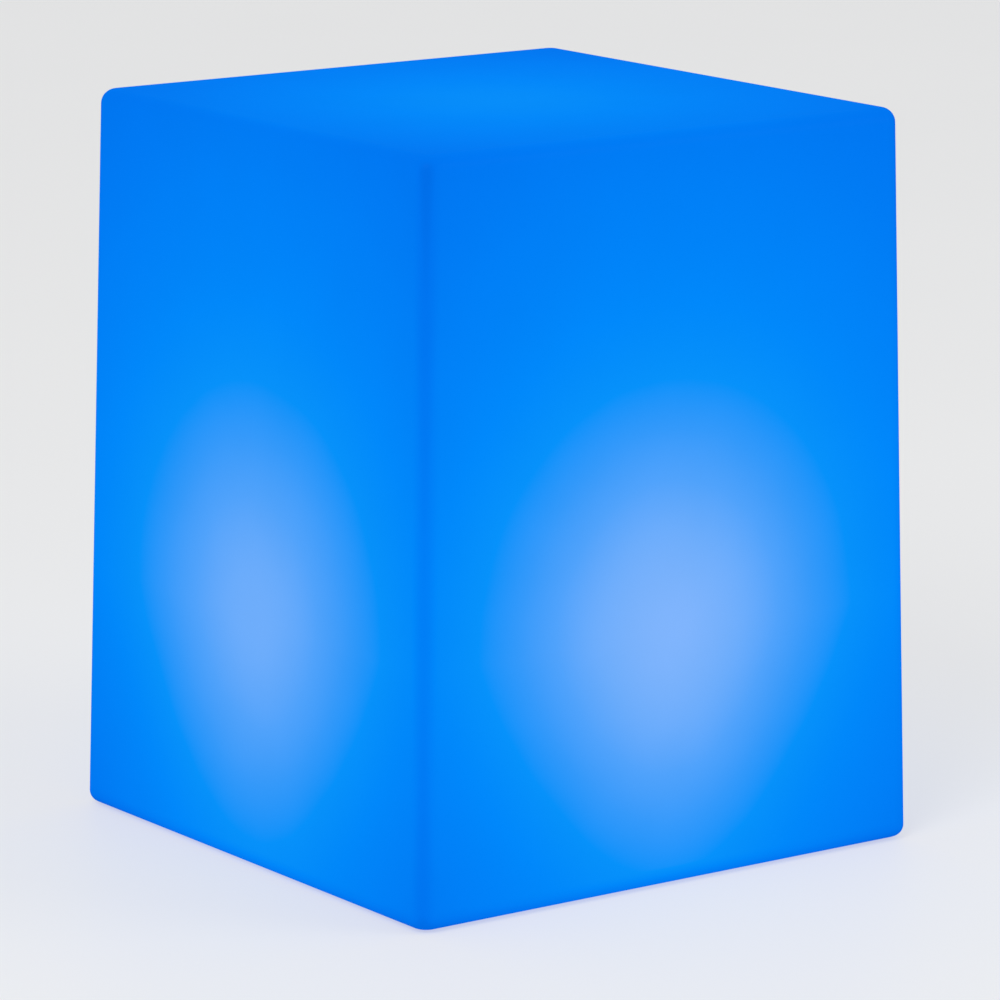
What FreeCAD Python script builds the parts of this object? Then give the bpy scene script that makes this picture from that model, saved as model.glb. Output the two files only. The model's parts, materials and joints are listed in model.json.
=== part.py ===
"""A rechargeable garden cube light: a moulded translucent body over a battery lamp module.

Millimetres, +Z up. The origin is on the ground under the middle of the body. The body tapers a
little to its top. The lamp module hangs in a round hole in the recessed base and is screwed on
from below, so everything is built up from the ground in levels.
"""
import FreeCAD, Part
import math
import os

V = FreeCAD.Vector
UP = V(0, 0, 1)

# ---- Clearances ----
part_gap = 0.3            # between pieces that pass each other
thread_gap = 0.1          # around a screw in its hole or insert
seat_gap = 0.2            # under a piece that rests loosely
screw_end_gap = 0.5       # past the end of a screw in a blind hole
over = 1.0                # how far a cutting tool runs past a face

# ---- Flats on round pieces that are small or hidden ----
small_sides = 8
medium_sides = 16
large_sides = 36

# ---- Body ----
base_side = 400.0
body_height = 490.0       # ground to top
side_lean = 10.0          # how far each side leans in over the height
shell_wall = 4.0
corner_radius = 13.0      # upright corners and top edges alike
bottom_edge_radius = 8.0
foot_rim_width = 28.0
base_recess_depth = 16.5
recess_corner_radius = 50.0
recess_edge_radius = 7.0
mouth_bevel = 2.4         # where the recess opens in the foot rim
recess_draft = 1.5
flute_count = 8           # stiffening flutes pressed up in the base panel
flute_width = 22.0
flute_corner = 6.5
flute_rise = 6.0
flute_margin = 8.0        # from a flute's ends to the cover and to the recess's side

pad_radius = 12.0
pad_thickness = 3.0
pad_proud = 1.5
pad_corner_inset = 26.0   # from both outer sides to a pad's centre

# ---- Base hole, cover and its screws ----
module_clearance = 2.0    # housing to the hole that it goes up through
cover_overlap = 21.0      # cover past the hole's edge
cover_thickness = 4.0
cover_bevel = 1.5
gasket_thickness = 2.0
gasket_margin = 2.0       # gasket edge to hole and to cover edge
fixing_count = 6
fixing_turn = 30.0
insert_flats = 9.0
insert_length = 12.0
boss_wall = 4.0
boss_roof = 3.0
boss_bevel = 1.8
fixing_shank = 2.5
fixing_length = 14.0
fixing_head = 4.75
fixing_head_height = 3.0

# ---- Housing cup ----
housing_radius = 72.0
housing_wall = 2.5
housing_top = 80.0
housing_roof = 2.5
housing_bevel = 3.0
housing_seal_thickness = 1.0
housing_screw_inset = 6.5 # housing's outside to a screw's centre
housing_screw_turn = 45.0
housing_boss = 4.5
housing_pad = 3.0         # raised under each post, as thick as the seal
housing_shank = 1.75
housing_screw_length = 12.0
housing_head = 3.25
housing_head_height = 2.0

# ---- Control board ----
board_length = 96.0
board_width = 62.0
board_thickness = 1.6
board_corner = 4.0
board_lift = 14.0         # cover's inner face to board
board_hole_x = 42.0
board_hole_y = 25.0
standoff_radius = 3.5
board_shank = 1.3
board_head = 2.5
board_head_height = 1.6
board_screw_length = 7.0

# ---- Board parts and their places on it ----
connector_width = 6.0
connector_height = 7.0
connector_wall = 0.8
connector_floor = 2.0
lamp_plug_length = 12.5
supply_plug_length = 7.5
lamp_connector = (0.0, 24.0)
battery_connector = (-26.0, 24.0)
inlet_connector = (34.0, 0.0)
capacitor_radius = 4.0
capacitor_height = 10.0
capacitor_bevel = 0.6
capacitor_row = (-30.0, -20.0, -10.0)
capacitor_y = -22.0
coil_side = 12.0
coil_height = 7.0
coil_corner = 2.0
coil_place = (12.0, -20.0)
charger_side = 10.0
charger_height = 1.2
charger_place = (-20.0, 2.0)
driver_length = 6.5
driver_width = 6.0
driver_height = 2.3
driver_row = (2.0, 12.0, 22.0)
driver_y = 8.0
indicator_length = 3.2
indicator_width = 1.6
indicator_height = 0.8

# ---- Button and its switch ----
button_x = -20.0
button_radius = 9.0
button_proud = 1.0
button_bevel = 0.8
button_travel = 1.5
button_flange = 1.5       # collar that keeps the button in
button_flange_height = 1.0
button_stem_radius = 3.4
button_stem_height = 4.5
button_seal_thickness = 0.8
guide_wall = 2.0
guide_height = 7.0
plunger_floor = 1.0       # button's stem under its socket
plunger_side = 3.0
plunger_hidden = 2.2      # length inside the switch
switch_side = 8.5
switch_height = 5.2

# ---- Charging inlet and its stopper ----
jack_x = 20.0
jack_flange_radius = 7.5
jack_flange_height = 1.5
jack_barrel_radius = 6.0
jack_bore_radius = 3.1
jack_bore_depth = 9.5
jack_pin_radius = 1.05
jack_pin_length = 7.5
jack_body_height = 8.0    # above the inlet's pad
jack_nut_flats = 15.0
jack_nut_height = 3.0
jack_seal_thickness = 0.8
jack_tag_height = 2.0
jack_tag_x = 2.5
jack_tag_y = 1.8
jack_tag_width = 2.4
jack_tag_thickness = 0.6
inlet_pad_radius = 12.0
inlet_pad_height = 3.0
inlet_pocket_depth = 3.9
stopper_radius = 9.0
stopper_thickness = 1.5
stopper_bevel = 0.4
stopper_plug_radius = 2.5
stopper_plug_bevel = 0.8
stopper_plug_length = 2.0
tether_width = 5.0
tether_thickness = 1.2
tether_channel_depth = 1.7
hinge_from_jack = 12.0
hinge_roll = 0.6
anchor_from_hinge = 8.0
anchor_stem = 1.8
anchor_bulb = 2.6
anchor_bulb_height = 1.2
tab_width = 6.0
tab_reach = 3.5

# ---- Indicator and vent ----
pipe_y = 13.0
pipe_radius = 1.5
pipe_collar = 2.4
pipe_collar_height = 1.0
vent_y = -26.0
vent_head = 6.0
vent_head_height = 1.5
vent_bevel = 0.5
vent_stem = 3.9
vent_bead = 4.3
vent_bead_height = 1.0
rib_count = 8
rib_width = 1.6
rib_inner = 33.0
rib_end_inset = 12.0      # housing's outside to the ribs' outer ends
rib_height = 3.0

# ---- Battery ----
cell_count = 3
cell_radius = 9.2
cell_length = 65.0
cell_pitch = 19.0
tab_strip_width = 7.0
tab_strip_thickness = 0.4
holder_plate = 3.0
holder_wall = 1.6
holder_depth = 14.0
holder_ear_x = 43.0
holder_ear_y = 18.0
holder_ear_radius = 4.5
holder_boss = 3.5
holder_boss_drop = 6.0
strap_end_inset = 16.5    # cells' ends to the strap's middle
strap_width = 14.0
strap_thickness = 1.0

# ---- Lamp ----
lamp_centre = 170.0       # middle of the light above the ground
plinth_radius = 29.0
plinth_height = 6.0
foot_radius = 26.0
foot_thickness = 3.0
spigot_height = 8.0
column_flats = 32.0
column_bore = 12.5
strip_length = 96.0
strip_width = 14.0
strip_thickness = 1.2
strip_end_margin = 2.0    # column past the strips at the top
chips_per_strip = 5
chip_pitch = 18.0
chip_side = 5.0
chip_height = 1.5
top_chip_ring = 8.5
top_chip_count = 5
top_chip_turn = 18.0
receiver_side = 5.5
receiver_height = 5.0
column_screw_ring = 22.3
column_screw_turn = 45.0
column_shank = 1.5
column_head = 2.75
column_head_height = 2.0
column_screw_length = 7.0

# ---- Diffuser ----
diffuser_radius = 42.0
diffuser_wall = 2.0
diffuser_flange = 54.0
diffuser_flange_height = 3.0
lid_clearance = 4.0      # receiver to the diffuser's lid
diffuser_seal_inner = 43.5
diffuser_seal_outer = 46.5
diffuser_seal_thickness = 1.0
diffuser_bevel = 2.0
diffuser_screw_grip = 8.0
diffuser_screw_ring = 50.2
diffuser_boss = 3.5
diffuser_boss_drop = 8.0

# ---- Leads ----
grommet_y = 34.0
grommet_radius = 3.5
grommet_flange = 5.0
grommet_flange_height = 1.0
lamp_lead_width = 4.4
twin_lead_width = 3.4
lead_height = 1.7
plug_rise = 13.0          # board to the first bend over a connector
jack_lead_reach = 6.0     # past the board's edge
jack_lead_rise = 18.0
lamp_lead_rise = 18.0     # under the battery holder, and over the roof
lamp_lead_lap = 6.0       # on the strip's end, and short of it

# ---- Levels, from the ground up ----
rim_under = pad_proud
panel_under = rim_under + base_recess_depth
panel_top = panel_under + shell_wall
gasket_under = panel_under - gasket_thickness
cover_top = gasket_under
cover_under = cover_top - cover_thickness
module_hole_radius = housing_radius + module_clearance
cover_radius = module_hole_radius + cover_overlap
fixing_radius = (module_hole_radius + cover_radius) / 2
housing_screw_radius = housing_radius - housing_screw_inset
rib_outer = housing_radius - rib_end_inset
housing_under = cover_top + housing_seal_thickness
roof_under = housing_top - housing_roof
board_under = cover_top + board_lift
board_top = board_under + board_thickness
plug_z = board_top + connector_floor + seat_gap    # ends of the leads in their connectors
column_under = housing_top + plinth_height + foot_thickness
column_top = lamp_centre + strip_length / 2 + strip_end_margin
receiver_top = column_top + strip_thickness + receiver_height
diffuser_under = housing_top + diffuser_seal_thickness

# The button stands proud of the cover and its collar rests just inside.
button_under = cover_under - button_proud
collar_under = cover_top + button_seal_thickness + seat_gap
stem_under = collar_under + button_flange_height
stem_top = stem_under + button_stem_height
plunger_under = stem_under + plunger_floor
switch_under = board_under - switch_height
button_hole_radius = button_radius + part_gap
guide_radius = button_hole_radius + button_flange

# The inlet is let into a pocket, flush with the stopper over it.
pocket_roof = cover_under + inlet_pocket_depth
inlet_pad_top = cover_top + inlet_pad_height
jack_seal_under = pocket_roof - jack_seal_thickness
jack_under = jack_seal_under - jack_flange_height
jack_body_top = inlet_pad_top + jack_body_height
stopper_top = jack_under - part_gap
stopper_under = stopper_top - stopper_thickness
channel_roof = cover_under + tether_channel_depth
tether_top = channel_roof - seat_gap
tether_under = tether_top - tether_thickness
hinge_x = jack_x + hinge_from_jack
hinge_z = (tether_top + tether_under) / 2
anchor_x = hinge_x + anchor_from_hinge

# The cells hang under a holder that is screwed up to the roof.
holder_under = roof_under - holder_plate
cell_z = holder_under - part_gap - cell_radius
holder_half_length = cell_length / 2 + tab_strip_thickness + part_gap + holder_wall
holder_half_width = (cell_count - 1) / 2 * cell_pitch + cell_radius + part_gap + holder_wall
holder_boss_under = roof_under - holder_boss_drop
battery_screw_top = holder_boss_under - holder_plate + board_screw_length
strap_x = strap_end_inset - cell_length / 2
strap_under = cell_z - cell_radius - part_gap - strap_thickness


# ---- Shared shapes ----
def cylinder(radius, low, high, x=0.0, y=0.0):
    return Part.makeCylinder(radius, high - low, V(x, y, low))


def block(length, width, low, high, x=0.0, y=0.0):
    return Part.makeBox(length, width, high - low, V(x - length / 2, y - width / 2, low))


def prism(radius, low, high, x=0.0, y=0.0, sides=small_sides):
    """A bar with flats: small and hidden round pieces are drawn this way."""
    angles = [math.radians(360 * i / sides) for i in range(sides)]
    corners = [V(x + radius * math.cos(angle), y + radius * math.sin(angle), low) for angle in angles]
    return Part.Face(Part.makePolygon(corners + corners[:1])).extrude(UP * (high - low))


def drum(radius, low, high, x=0.0, y=0.0):
    return prism(radius, low, high, x, y, medium_sides)


def wide_drum(radius, low, high):
    return prism(radius, low, high, sides=large_sides)


def band(inner, outer, low, high, x=0.0, y=0.0):
    return drum(outer, low, high, x, y).cut(drum(inner, low, high, x, y))


def hexagon(flats, low, high, x=0.0, y=0.0):
    """A hexagonal bar with flats facing +Y and -Y, given the distance between them."""
    return prism(flats / 2 / math.cos(math.radians(30)), low, high, x, y, 6)


def upright_edges(solid):
    """Straight edges that run mostly upward."""
    found = []
    for edge in solid.Edges:
        first, last = edge.Vertexes[0].Point, edge.Vertexes[-1].Point
        if abs(last.z - first.z) > 0.5 * (last - first).Length > 0:
            found.append(edge)
    return found


def level_edges(solid, z, within=None):
    """Edges that lie at height z, and no further out than within."""
    found = []
    for edge in solid.Edges:
        box = edge.BoundBox
        level = abs(box.ZMin - z) < 0.01 and abs(box.ZMax - z) < 0.01
        near = within is None or max(-box.XMin, box.XMax, -box.YMin, box.YMax) < within
        if level and near:
            found.append(edge)
    return found


def bevel_for(radius):
    """The bevel that comes closest to a fillet, and keeps an even wall between two of them."""
    return (2 - math.sqrt(2)) * radius


def leaning_block(half_low, half_high, low, high):
    """A square block whose sides lean from half_low to half_high."""
    wedge = Part.makeWedge(-half_low, low, -half_low, -half_high, -half_high,
                           half_low, high, half_low, half_high, half_high)
    return wedge.rotated(V(0, 0, 0), V(1, 0, 0), 90)


def tapered_block(half_low, half_high, low, high, corner, top_edge, bottom_edge=0.0):
    """A leaning block, given its corners' and edges' radii. The edges are drawn as bevels."""
    wedge = leaning_block(half_low, half_high, low, high)
    solid = wedge.makeFillet(corner, upright_edges(wedge))
    if bottom_edge:
        solid = solid.makeChamfer(bevel_for(bottom_edge), level_edges(solid, low))
    return solid.makeChamfer(bevel_for(top_edge), level_edges(solid, high))


def on_ring(radius, count, start=0.0):
    """Centres evenly spaced on a ring about the middle."""
    angles = [math.radians(start + 360 * i / count) for i in range(count)]
    return [(radius * math.cos(angle), radius * math.sin(angle)) for angle in angles]


def corners_of(x, y):
    return [(x, y), (-x, y), (-x, -y), (x, -y)]


def join(solid, others):
    return solid.fuse(list(others)).removeSplitter()


def bore_out(solid, tools):
    """Cut the tools one after another, because some of them meet."""
    for tool in tools:
        solid = solid.cut(tool)
    return solid


def turned(solid, angle):
    """A copy turned about the middle."""
    return solid.copy().rotated(V(0, 0, 0), UP, angle)


def screw(x, y, seat, shank, length, head, head_height, head_below=True):
    """A screw whose head rests on the seat."""
    solid = join(prism(shank, 0, length), [prism(head, -head_height, 0)])
    if not head_below:
        solid.rotate(V(0, 0, 0), V(1, 0, 0), 180)
    solid.translate(V(x, y, seat))
    return solid


def flat_section(centre, along, half_width, half_height):
    """A closed flat outline square to a direction, with its width level."""
    across = V(along).cross(UP) if V(along).cross(UP).Length > 0.1 * along.Length else V(1, 0, 0)
    across.normalize()
    rise = across.cross(V(along)).normalize()
    corners = [centre + across * (x * half_width) + rise * (y * half_height)
               for x, y in ((1, 1), (-1, 1), (-1, -1), (1, -1))]
    return Part.makePolygon(corners + corners[:1])


def lead(points, width, height):
    """A flat cable along straight runs, with tangent bends as wide as the runs allow."""
    section = flat_section(points[0], points[1] - points[0], width / 2, height / 2)
    edges = []
    start = points[0]
    for before, corner, after in zip(points, points[1:], points[2:]):
        run_in, run_out = corner - before, after - corner
        trim = 0.45 * min(run_in.Length, run_out.Length)
        half_turn = run_in.getAngle(run_out) / 2
        bend = trim / math.tan(half_turn)
        way_in, way_out = V(run_in).normalize(), V(run_out).normalize()
        bend_start, bend_end = corner - way_in * trim, corner + way_out * trim
        inward = (way_out - way_in).normalize()
        middle = corner + inward * (bend / math.cos(half_turn) - bend)
        edges.append(Part.LineSegment(start, bend_start).toShape())
        edges.append(Part.Arc(bend_start, middle, bend_end).toShape())
        start = bend_end
    edges.append(Part.LineSegment(start, points[-1]).toShape())
    return Part.Wire(edges).makePipeShell([section], True, False)


# ---- Body ----
def body_half(z):
    """Half the body's side at height z."""
    return base_side / 2 - side_lean * (z - rim_under) / (body_height - rim_under)


def pad_places():
    reach = base_side / 2 - pad_corner_inset
    return corners_of(reach, reach)


def base_recess(grown):
    """The pocket under the base, or with grown, the moulding's inner skin over it."""
    half = base_side / 2 - foot_rim_width + grown
    return tapered_block(half, half - recess_draft, rim_under, panel_under + grown,
                         recess_corner_radius + grown, recess_edge_radius + grown)


def base_flutes(low, high, narrowed):
    """Flat-topped flutes with cut corners, between the module cover and the foot rim."""
    inner = cover_radius + flute_margin + narrowed
    outer = base_side / 2 - foot_rim_width - recess_edge_radius - flute_margin - narrowed
    bar = block(outer - inner, flute_width - 2 * narrowed, low, high, (inner + outer) / 2)
    bar = bar.makeChamfer(flute_corner, upright_edges(bar))
    return [turned(bar, 360 * i / flute_count) for i in range(flute_count)]


def shell():
    """The moulded body: an even wall all round, with the base folded up inside the foot rim."""
    skin = leaning_block(body_half(rim_under), body_half(body_height), rim_under, body_height)
    skin = skin.makeFillet(corner_radius, upright_edges(skin) + level_edges(skin, body_height))
    skin = skin.makeChamfer(bevel_for(bottom_edge_radius), level_edges(skin, rim_under))
    skin = skin.cut(base_recess(0.0))
    low, high = rim_under + shell_wall, body_height - shell_wall
    inside = tapered_block(body_half(low) - shell_wall, body_half(high) - shell_wall, low, high,
                           corner_radius - shell_wall, corner_radius - shell_wall,
                           bottom_edge_radius - shell_wall)
    inside = inside.cut(base_recess(shell_wall))
    inside = bore_out(inside, base_flutes(panel_top - over, panel_top + flute_rise, 0.0))
    solid = skin.cut(inside)
    solid = bore_out(solid, base_flutes(panel_under - over, panel_under + flute_rise, shell_wall))
    boss_top = panel_under + insert_length + boss_roof
    bosses = [hexagon(insert_flats + 2 * boss_wall, panel_under, boss_top, x, y) for x, y in fixing_places()]
    solid = join(solid, [boss.makeChamfer(boss_bevel, level_edges(boss, boss_top)) for boss in bosses])
    bores = [wide_drum(module_hole_radius, panel_under - over, panel_top + over)]
    bores += [hexagon(insert_flats + 2 * thread_gap, panel_under, panel_under + insert_length, x, y)
              for x, y in fixing_places()]
    solid = bore_out(solid, bores)
    mouth = base_side / 2 - foot_rim_width + over
    solid = solid.makeChamfer(mouth_bevel, level_edges(solid, rim_under, mouth))
    seat_top = rim_under + pad_thickness - pad_proud
    return bore_out(solid, [drum(pad_radius + part_gap, rim_under - over, seat_top, x, y)
                            for x, y in pad_places()])


def fixing_places():
    return on_ring(fixing_radius, fixing_count, fixing_turn)


def threaded_inserts():
    """Hexagonal brass inserts moulded into the bosses."""
    top = panel_under + insert_length
    return [hexagon(insert_flats, panel_under, top, x, y).cut(
                prism(fixing_shank + thread_gap, panel_under, top, x, y)) for x, y in fixing_places()]


def foot_pads():
    return [drum(pad_radius, 0, pad_thickness, x, y) for x, y in pad_places()]


# ---- Module cover and what closes it ----
def module_cover():
    """The round cover in the base, with its guide, inlet pad, standoffs and ribs inside."""
    disc = wide_drum(cover_radius, cover_under, cover_top)
    disc = disc.makeChamfer(cover_bevel, level_edges(disc, cover_under))
    raised = [drum(guide_radius + guide_wall, cover_top, cover_top + guide_height, button_x),
              drum(inlet_pad_radius, cover_top, inlet_pad_top, jack_x)]
    raised += [prism(standoff_radius, cover_top, board_under, x, y)
               for x, y in corners_of(board_hole_x, board_hole_y)]
    raised += [prism(housing_pad, cover_top, housing_under, x, y) for x, y in housing_screw_places()]
    rib = block(rib_outer - rib_inner, rib_width, cover_top, cover_top + rib_height,
                (rib_outer + rib_inner) / 2)
    raised += [turned(rib, 360 * (i + 0.5) / rib_count) for i in range(rib_count)]
    cover = join(disc, raised)
    bores = [prism(fixing_shank + part_gap, cover_under, cover_top, x, y) for x, y in fixing_places()]
    for x, y in housing_screw_places():
        bores.append(prism(housing_shank + part_gap, cover_under, housing_under, x, y))
        bores.append(prism(housing_head + part_gap, cover_under, cover_under + housing_head_height, x, y))
    bores += [prism(board_shank + thread_gap, board_under - board_screw_length, board_under, x, y)
              for x, y in corners_of(board_hole_x, board_hole_y)]
    bores.append(drum(button_hole_radius, cover_under, cover_top, button_x))
    bores.append(drum(guide_radius + part_gap, cover_top, cover_top + guide_height, button_x))
    bores.append(drum(jack_barrel_radius + thread_gap, cover_under, inlet_pad_top, jack_x))
    bores.append(drum(stopper_radius + part_gap, cover_under, pocket_roof, jack_x))
    bores += stopper_channel()
    bores.append(prism(anchor_stem + thread_gap, cover_under, cover_top, anchor_x))
    bores.append(prism(pipe_radius + thread_gap, cover_under, cover_top, 0, pipe_y))
    bores.append(prism(vent_stem + thread_gap, cover_under, cover_top, 0, vent_y))
    return bore_out(cover, bores)


def stopper_channel():
    """Slots in the cover's underside for the tether, and for the pull tab and a fingertip."""
    pad_end = anchor_x + tether_width / 2 + part_gap
    tab_end = jack_x - stopper_radius - tab_reach
    width = tether_width + 2 * part_gap
    tether = block(pad_end - jack_x, width, cover_under, channel_roof, (pad_end + jack_x) / 2)
    tab = block(jack_x - tab_end, tab_width + 2 * part_gap, cover_under, channel_roof,
                (jack_x + tab_end) / 2)
    fingertip = prism(tab_width, cover_under, channel_roof, tab_end)
    return [tether, tab, fingertip]


def module_gasket():
    flat = band(module_hole_radius + gasket_margin, cover_radius - gasket_margin, gasket_under, panel_under)
    holes = [prism(fixing_shank + part_gap, gasket_under, panel_under, x, y) for x, y in fixing_places()]
    return flat.cut(Part.makeCompound(holes))


def module_screws():
    return [screw(x, y, cover_under, fixing_shank, fixing_length, fixing_head, fixing_head_height)
            for x, y in fixing_places()]


# ---- Housing ----
def housing_screw_places():
    return on_ring(housing_screw_radius, 4, housing_screw_turn)


def holder_screw_places():
    return corners_of(holder_ear_x, holder_ear_y)


def module_housing():
    """The cup over the electronics, with the lamp's plinth on its roof and screw posts inside."""
    cup = wide_drum(housing_radius, housing_under, housing_top)
    cup = cup.makeChamfer(housing_bevel, level_edges(cup, housing_top))
    cup = cup.cut(wide_drum(housing_radius - housing_wall, housing_under, roof_under))
    added = [prism(housing_boss, housing_under, roof_under, x, y) for x, y in housing_screw_places()]
    added += [prism(diffuser_boss, roof_under - diffuser_boss_drop, roof_under, x, y)
              for x, y in diffuser_screw_places()]
    added += [prism(holder_boss, holder_boss_under, roof_under, x, y) for x, y in holder_screw_places()]
    added.append(drum(plinth_radius, housing_top, housing_top + plinth_height))
    cup = join(cup, added)
    bores = [prism(grommet_radius, roof_under, housing_top, 0, grommet_y)]
    bores += [prism(housing_shank + thread_gap, housing_under, cover_top + housing_screw_length, x, y)
              for x, y in housing_screw_places()]
    bores += [prism(column_shank + thread_gap, diffuser_under - diffuser_screw_grip - screw_end_gap,
                    housing_top, x, y) for x, y in diffuser_screw_places()]
    bores += [prism(board_shank + thread_gap, holder_boss_under, battery_screw_top + screw_end_gap, x, y)
              for x, y in holder_screw_places()]
    bores += [prism(column_shank + thread_gap, column_under - column_screw_length - screw_end_gap,
                    housing_top + plinth_height, x, y) for x, y in column_screw_places()]
    return bore_out(cup, bores)


def housing_seal():
    return band(housing_radius - housing_wall, housing_radius, cover_top, housing_under)


def housing_screws():
    seat = cover_under + housing_head_height
    return [screw(x, y, seat, housing_shank, housing_screw_length, housing_head, housing_head_height)
            for x, y in housing_screw_places()]


# ---- Board and what is on it ----
def control_board():
    board = block(board_length, board_width, board_under, board_top)
    board = board.makeChamfer(board_corner, upright_edges(board))
    holes = [prism(board_shank + thread_gap, board_under, board_top, x, y)
             for x, y in corners_of(board_hole_x, board_hole_y)]
    return board.cut(Part.makeCompound(holes))


def on_board(length, width, height, place):
    return block(length, width, board_top, board_top + height, *place)


def capacitor(place):
    can = prism(capacitor_radius, board_top, board_top + capacitor_height, *place)
    return can.makeChamfer(capacitor_bevel, level_edges(can, board_top + capacitor_height))


def connector(length, place):
    """A wire connector: a box that is open above."""
    box = on_board(length, connector_width, connector_height, place)
    return box.cut(block(length - 2 * connector_wall, connector_width - 2 * connector_wall,
                         board_top + connector_floor, board_top + connector_height, *place))


def inductor():
    """A shielded coil with cut corners."""
    core = on_board(coil_side, coil_side, coil_height, coil_place)
    return core.makeChamfer(coil_corner, upright_edges(core))


def board_components():
    """Charger and colour driver parts on the board, and the indicator's lamp under it."""
    parts = [capacitor((x, capacitor_y)) for x in capacitor_row]
    parts += [on_board(driver_length, driver_width, driver_height, (x, driver_y)) for x in driver_row]
    parts += [connector(lamp_plug_length, lamp_connector), inductor(),
              on_board(charger_side, charger_side, charger_height, charger_place)]
    parts += [connector(supply_plug_length, place) for place in (battery_connector, inlet_connector)]
    parts.append(block(indicator_length, indicator_width, board_under - indicator_height, board_under,
                       0, pipe_y))
    return parts


def board_screws():
    return [screw(x, y, board_top, board_shank, board_screw_length, board_head, board_head_height,
                  head_below=False) for x, y in corners_of(board_hole_x, board_hole_y)]


# ---- Button and switch ----
def power_switch():
    """The switch body hanging under the board, with the shaft that its plunger runs in."""
    body = block(switch_side, switch_side, switch_under, board_under, button_x)
    shaft = plunger_side + 2 * part_gap
    shaft_top = switch_under + plunger_hidden + button_travel + part_gap
    return body.cut(block(shaft, shaft, switch_under, shaft_top, button_x))


def switch_plunger():
    return block(plunger_side, plunger_side, plunger_under, switch_under + plunger_hidden, button_x)


def button_cap():
    """A round cap with a collar inside the cover and a stem with a socket for the plunger."""
    body = drum(button_radius, button_under, collar_under, button_x)
    body = body.makeChamfer(button_bevel, level_edges(body, button_under))
    collar = drum(guide_radius, collar_under, stem_under, button_x)
    cap = join(body, [collar, prism(button_stem_radius, stem_under, stem_top, button_x)])
    socket_side = plunger_side + 2 * thread_gap
    return cap.cut(block(socket_side, socket_side, plunger_under, stem_top, button_x))


def button_seal():
    """The flat ring that the collar closes on."""
    return band(button_hole_radius, guide_radius, cover_top, cover_top + button_seal_thickness, button_x)


# ---- Charging inlet ----
def charge_jack():
    """A panel inlet: flange below, threaded barrel through the cover, body and tags above."""
    flange = drum(jack_flange_radius, jack_under, jack_seal_under, jack_x)
    barrel = drum(jack_barrel_radius, jack_seal_under, jack_body_top, jack_x)
    tags = [block(jack_tag_width, jack_tag_thickness, jack_body_top, jack_body_top + jack_tag_height,
                  jack_x + jack_tag_x, y) for y in (-jack_tag_y, jack_tag_y)]
    body = join(flange, [barrel] + tags)
    return body.cut(cylinder(jack_bore_radius, jack_under, jack_under + jack_bore_depth, jack_x))


def jack_pin():
    top = jack_under + jack_bore_depth
    return prism(jack_pin_radius, top - jack_pin_length, top, jack_x)


def jack_seal():
    return band(jack_barrel_radius + thread_gap, jack_flange_radius, jack_seal_under, pocket_roof, jack_x)


def jack_nut():
    nut = hexagon(jack_nut_flats, inlet_pad_top, inlet_pad_top + jack_nut_height, jack_x)
    return nut.cut(drum(jack_barrel_radius + thread_gap, inlet_pad_top,
                        inlet_pad_top + jack_nut_height, jack_x))


def port_cover():
    """The soft stopper over the inlet: lid, plug, pull tab and its half of the tether."""
    lid = drum(stopper_radius, stopper_under, stopper_top, jack_x)
    lid = lid.makeChamfer(stopper_bevel, level_edges(lid, stopper_under))
    plug = prism(stopper_plug_radius, stopper_top, stopper_top + stopper_plug_length, jack_x)
    plug = plug.makeChamfer(stopper_plug_bevel, level_edges(plug, stopper_top + stopper_plug_length))
    tab_end = jack_x - stopper_radius - tab_reach
    tab = block(jack_x - tab_end, tab_width, tether_under, tether_top, (jack_x + tab_end) / 2)
    tab = tab.makeChamfer(tab_width * 0.3, upright_edges(tab))
    tether = block(hinge_x - jack_x, tether_width, tether_under, tether_top, (hinge_x + jack_x) / 2)
    roll = Part.makeCylinder(hinge_roll, tether_width, V(hinge_x, -tether_width / 2, hinge_z), V(0, 1, 0))
    return join(lid, [plug, tab, tether, roll])


def port_cover_anchor():
    """The fixed end of the tether, held by a bulb pushed through the cover."""
    start = hinge_x + hinge_roll + part_gap
    strap = block(anchor_x - start, tether_width, tether_under, tether_top, (anchor_x + start) / 2)
    pad = prism(tether_width / 2, tether_under, tether_top, anchor_x)
    stem = prism(anchor_stem, tether_top, cover_top + seat_gap, anchor_x)
    bulb_low = cover_top + seat_gap
    bulb = prism(anchor_bulb, bulb_low, bulb_low + anchor_bulb_height, anchor_x)
    bulb = bulb.makeChamfer(anchor_bulb_height * 0.6, level_edges(bulb, bulb_low + anchor_bulb_height))
    return join(strap, [pad, stem, bulb])


def jack_lead():
    """The twin cable from the inlet's tags, round the board's edge and down to its connector."""
    tag_z = jack_body_top + jack_tag_height / 2
    tag_face = jack_x + jack_tag_x + jack_tag_width / 2
    plug_x, plug_y = inlet_connector
    edge = board_length / 2
    reach, rise = jack_lead_reach, jack_lead_rise
    return lead([V(tag_face, plug_y, tag_z), V(edge - reach, plug_y, tag_z),
                 V(edge + reach, plug_y, tag_z + 2), V(edge + reach - 1, plug_y, board_top + rise - 4),
                 V(plug_x + 1, plug_y, board_top + rise), V(plug_x, plug_y, plug_z)],
                twin_lead_width, lead_height)


# ---- Indicator and vent ----
def status_light_pipe():
    stem = prism(pipe_radius, cover_under, board_under - indicator_height - part_gap, 0, pipe_y)
    collar = prism(pipe_collar, cover_top, cover_top + pipe_collar_height, 0, pipe_y)
    return join(stem, [collar])


def vent_plug():
    """A snap-in pressure vent with a bevelled cap."""
    head = drum(vent_head, cover_under - vent_head_height, cover_under, 0, vent_y)
    head = head.makeChamfer(vent_bevel, level_edges(head, cover_under - vent_head_height))
    bead_under = cover_top + seat_gap
    stem = prism(vent_stem, cover_under, bead_under, 0, vent_y)
    return join(head, [stem, prism(vent_bead, bead_under, bead_under + vent_bead_height, 0, vent_y)])


# ---- Battery ----
def cell_rows():
    return [(i - (cell_count - 1) / 2) * cell_pitch for i in range(cell_count)]


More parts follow.
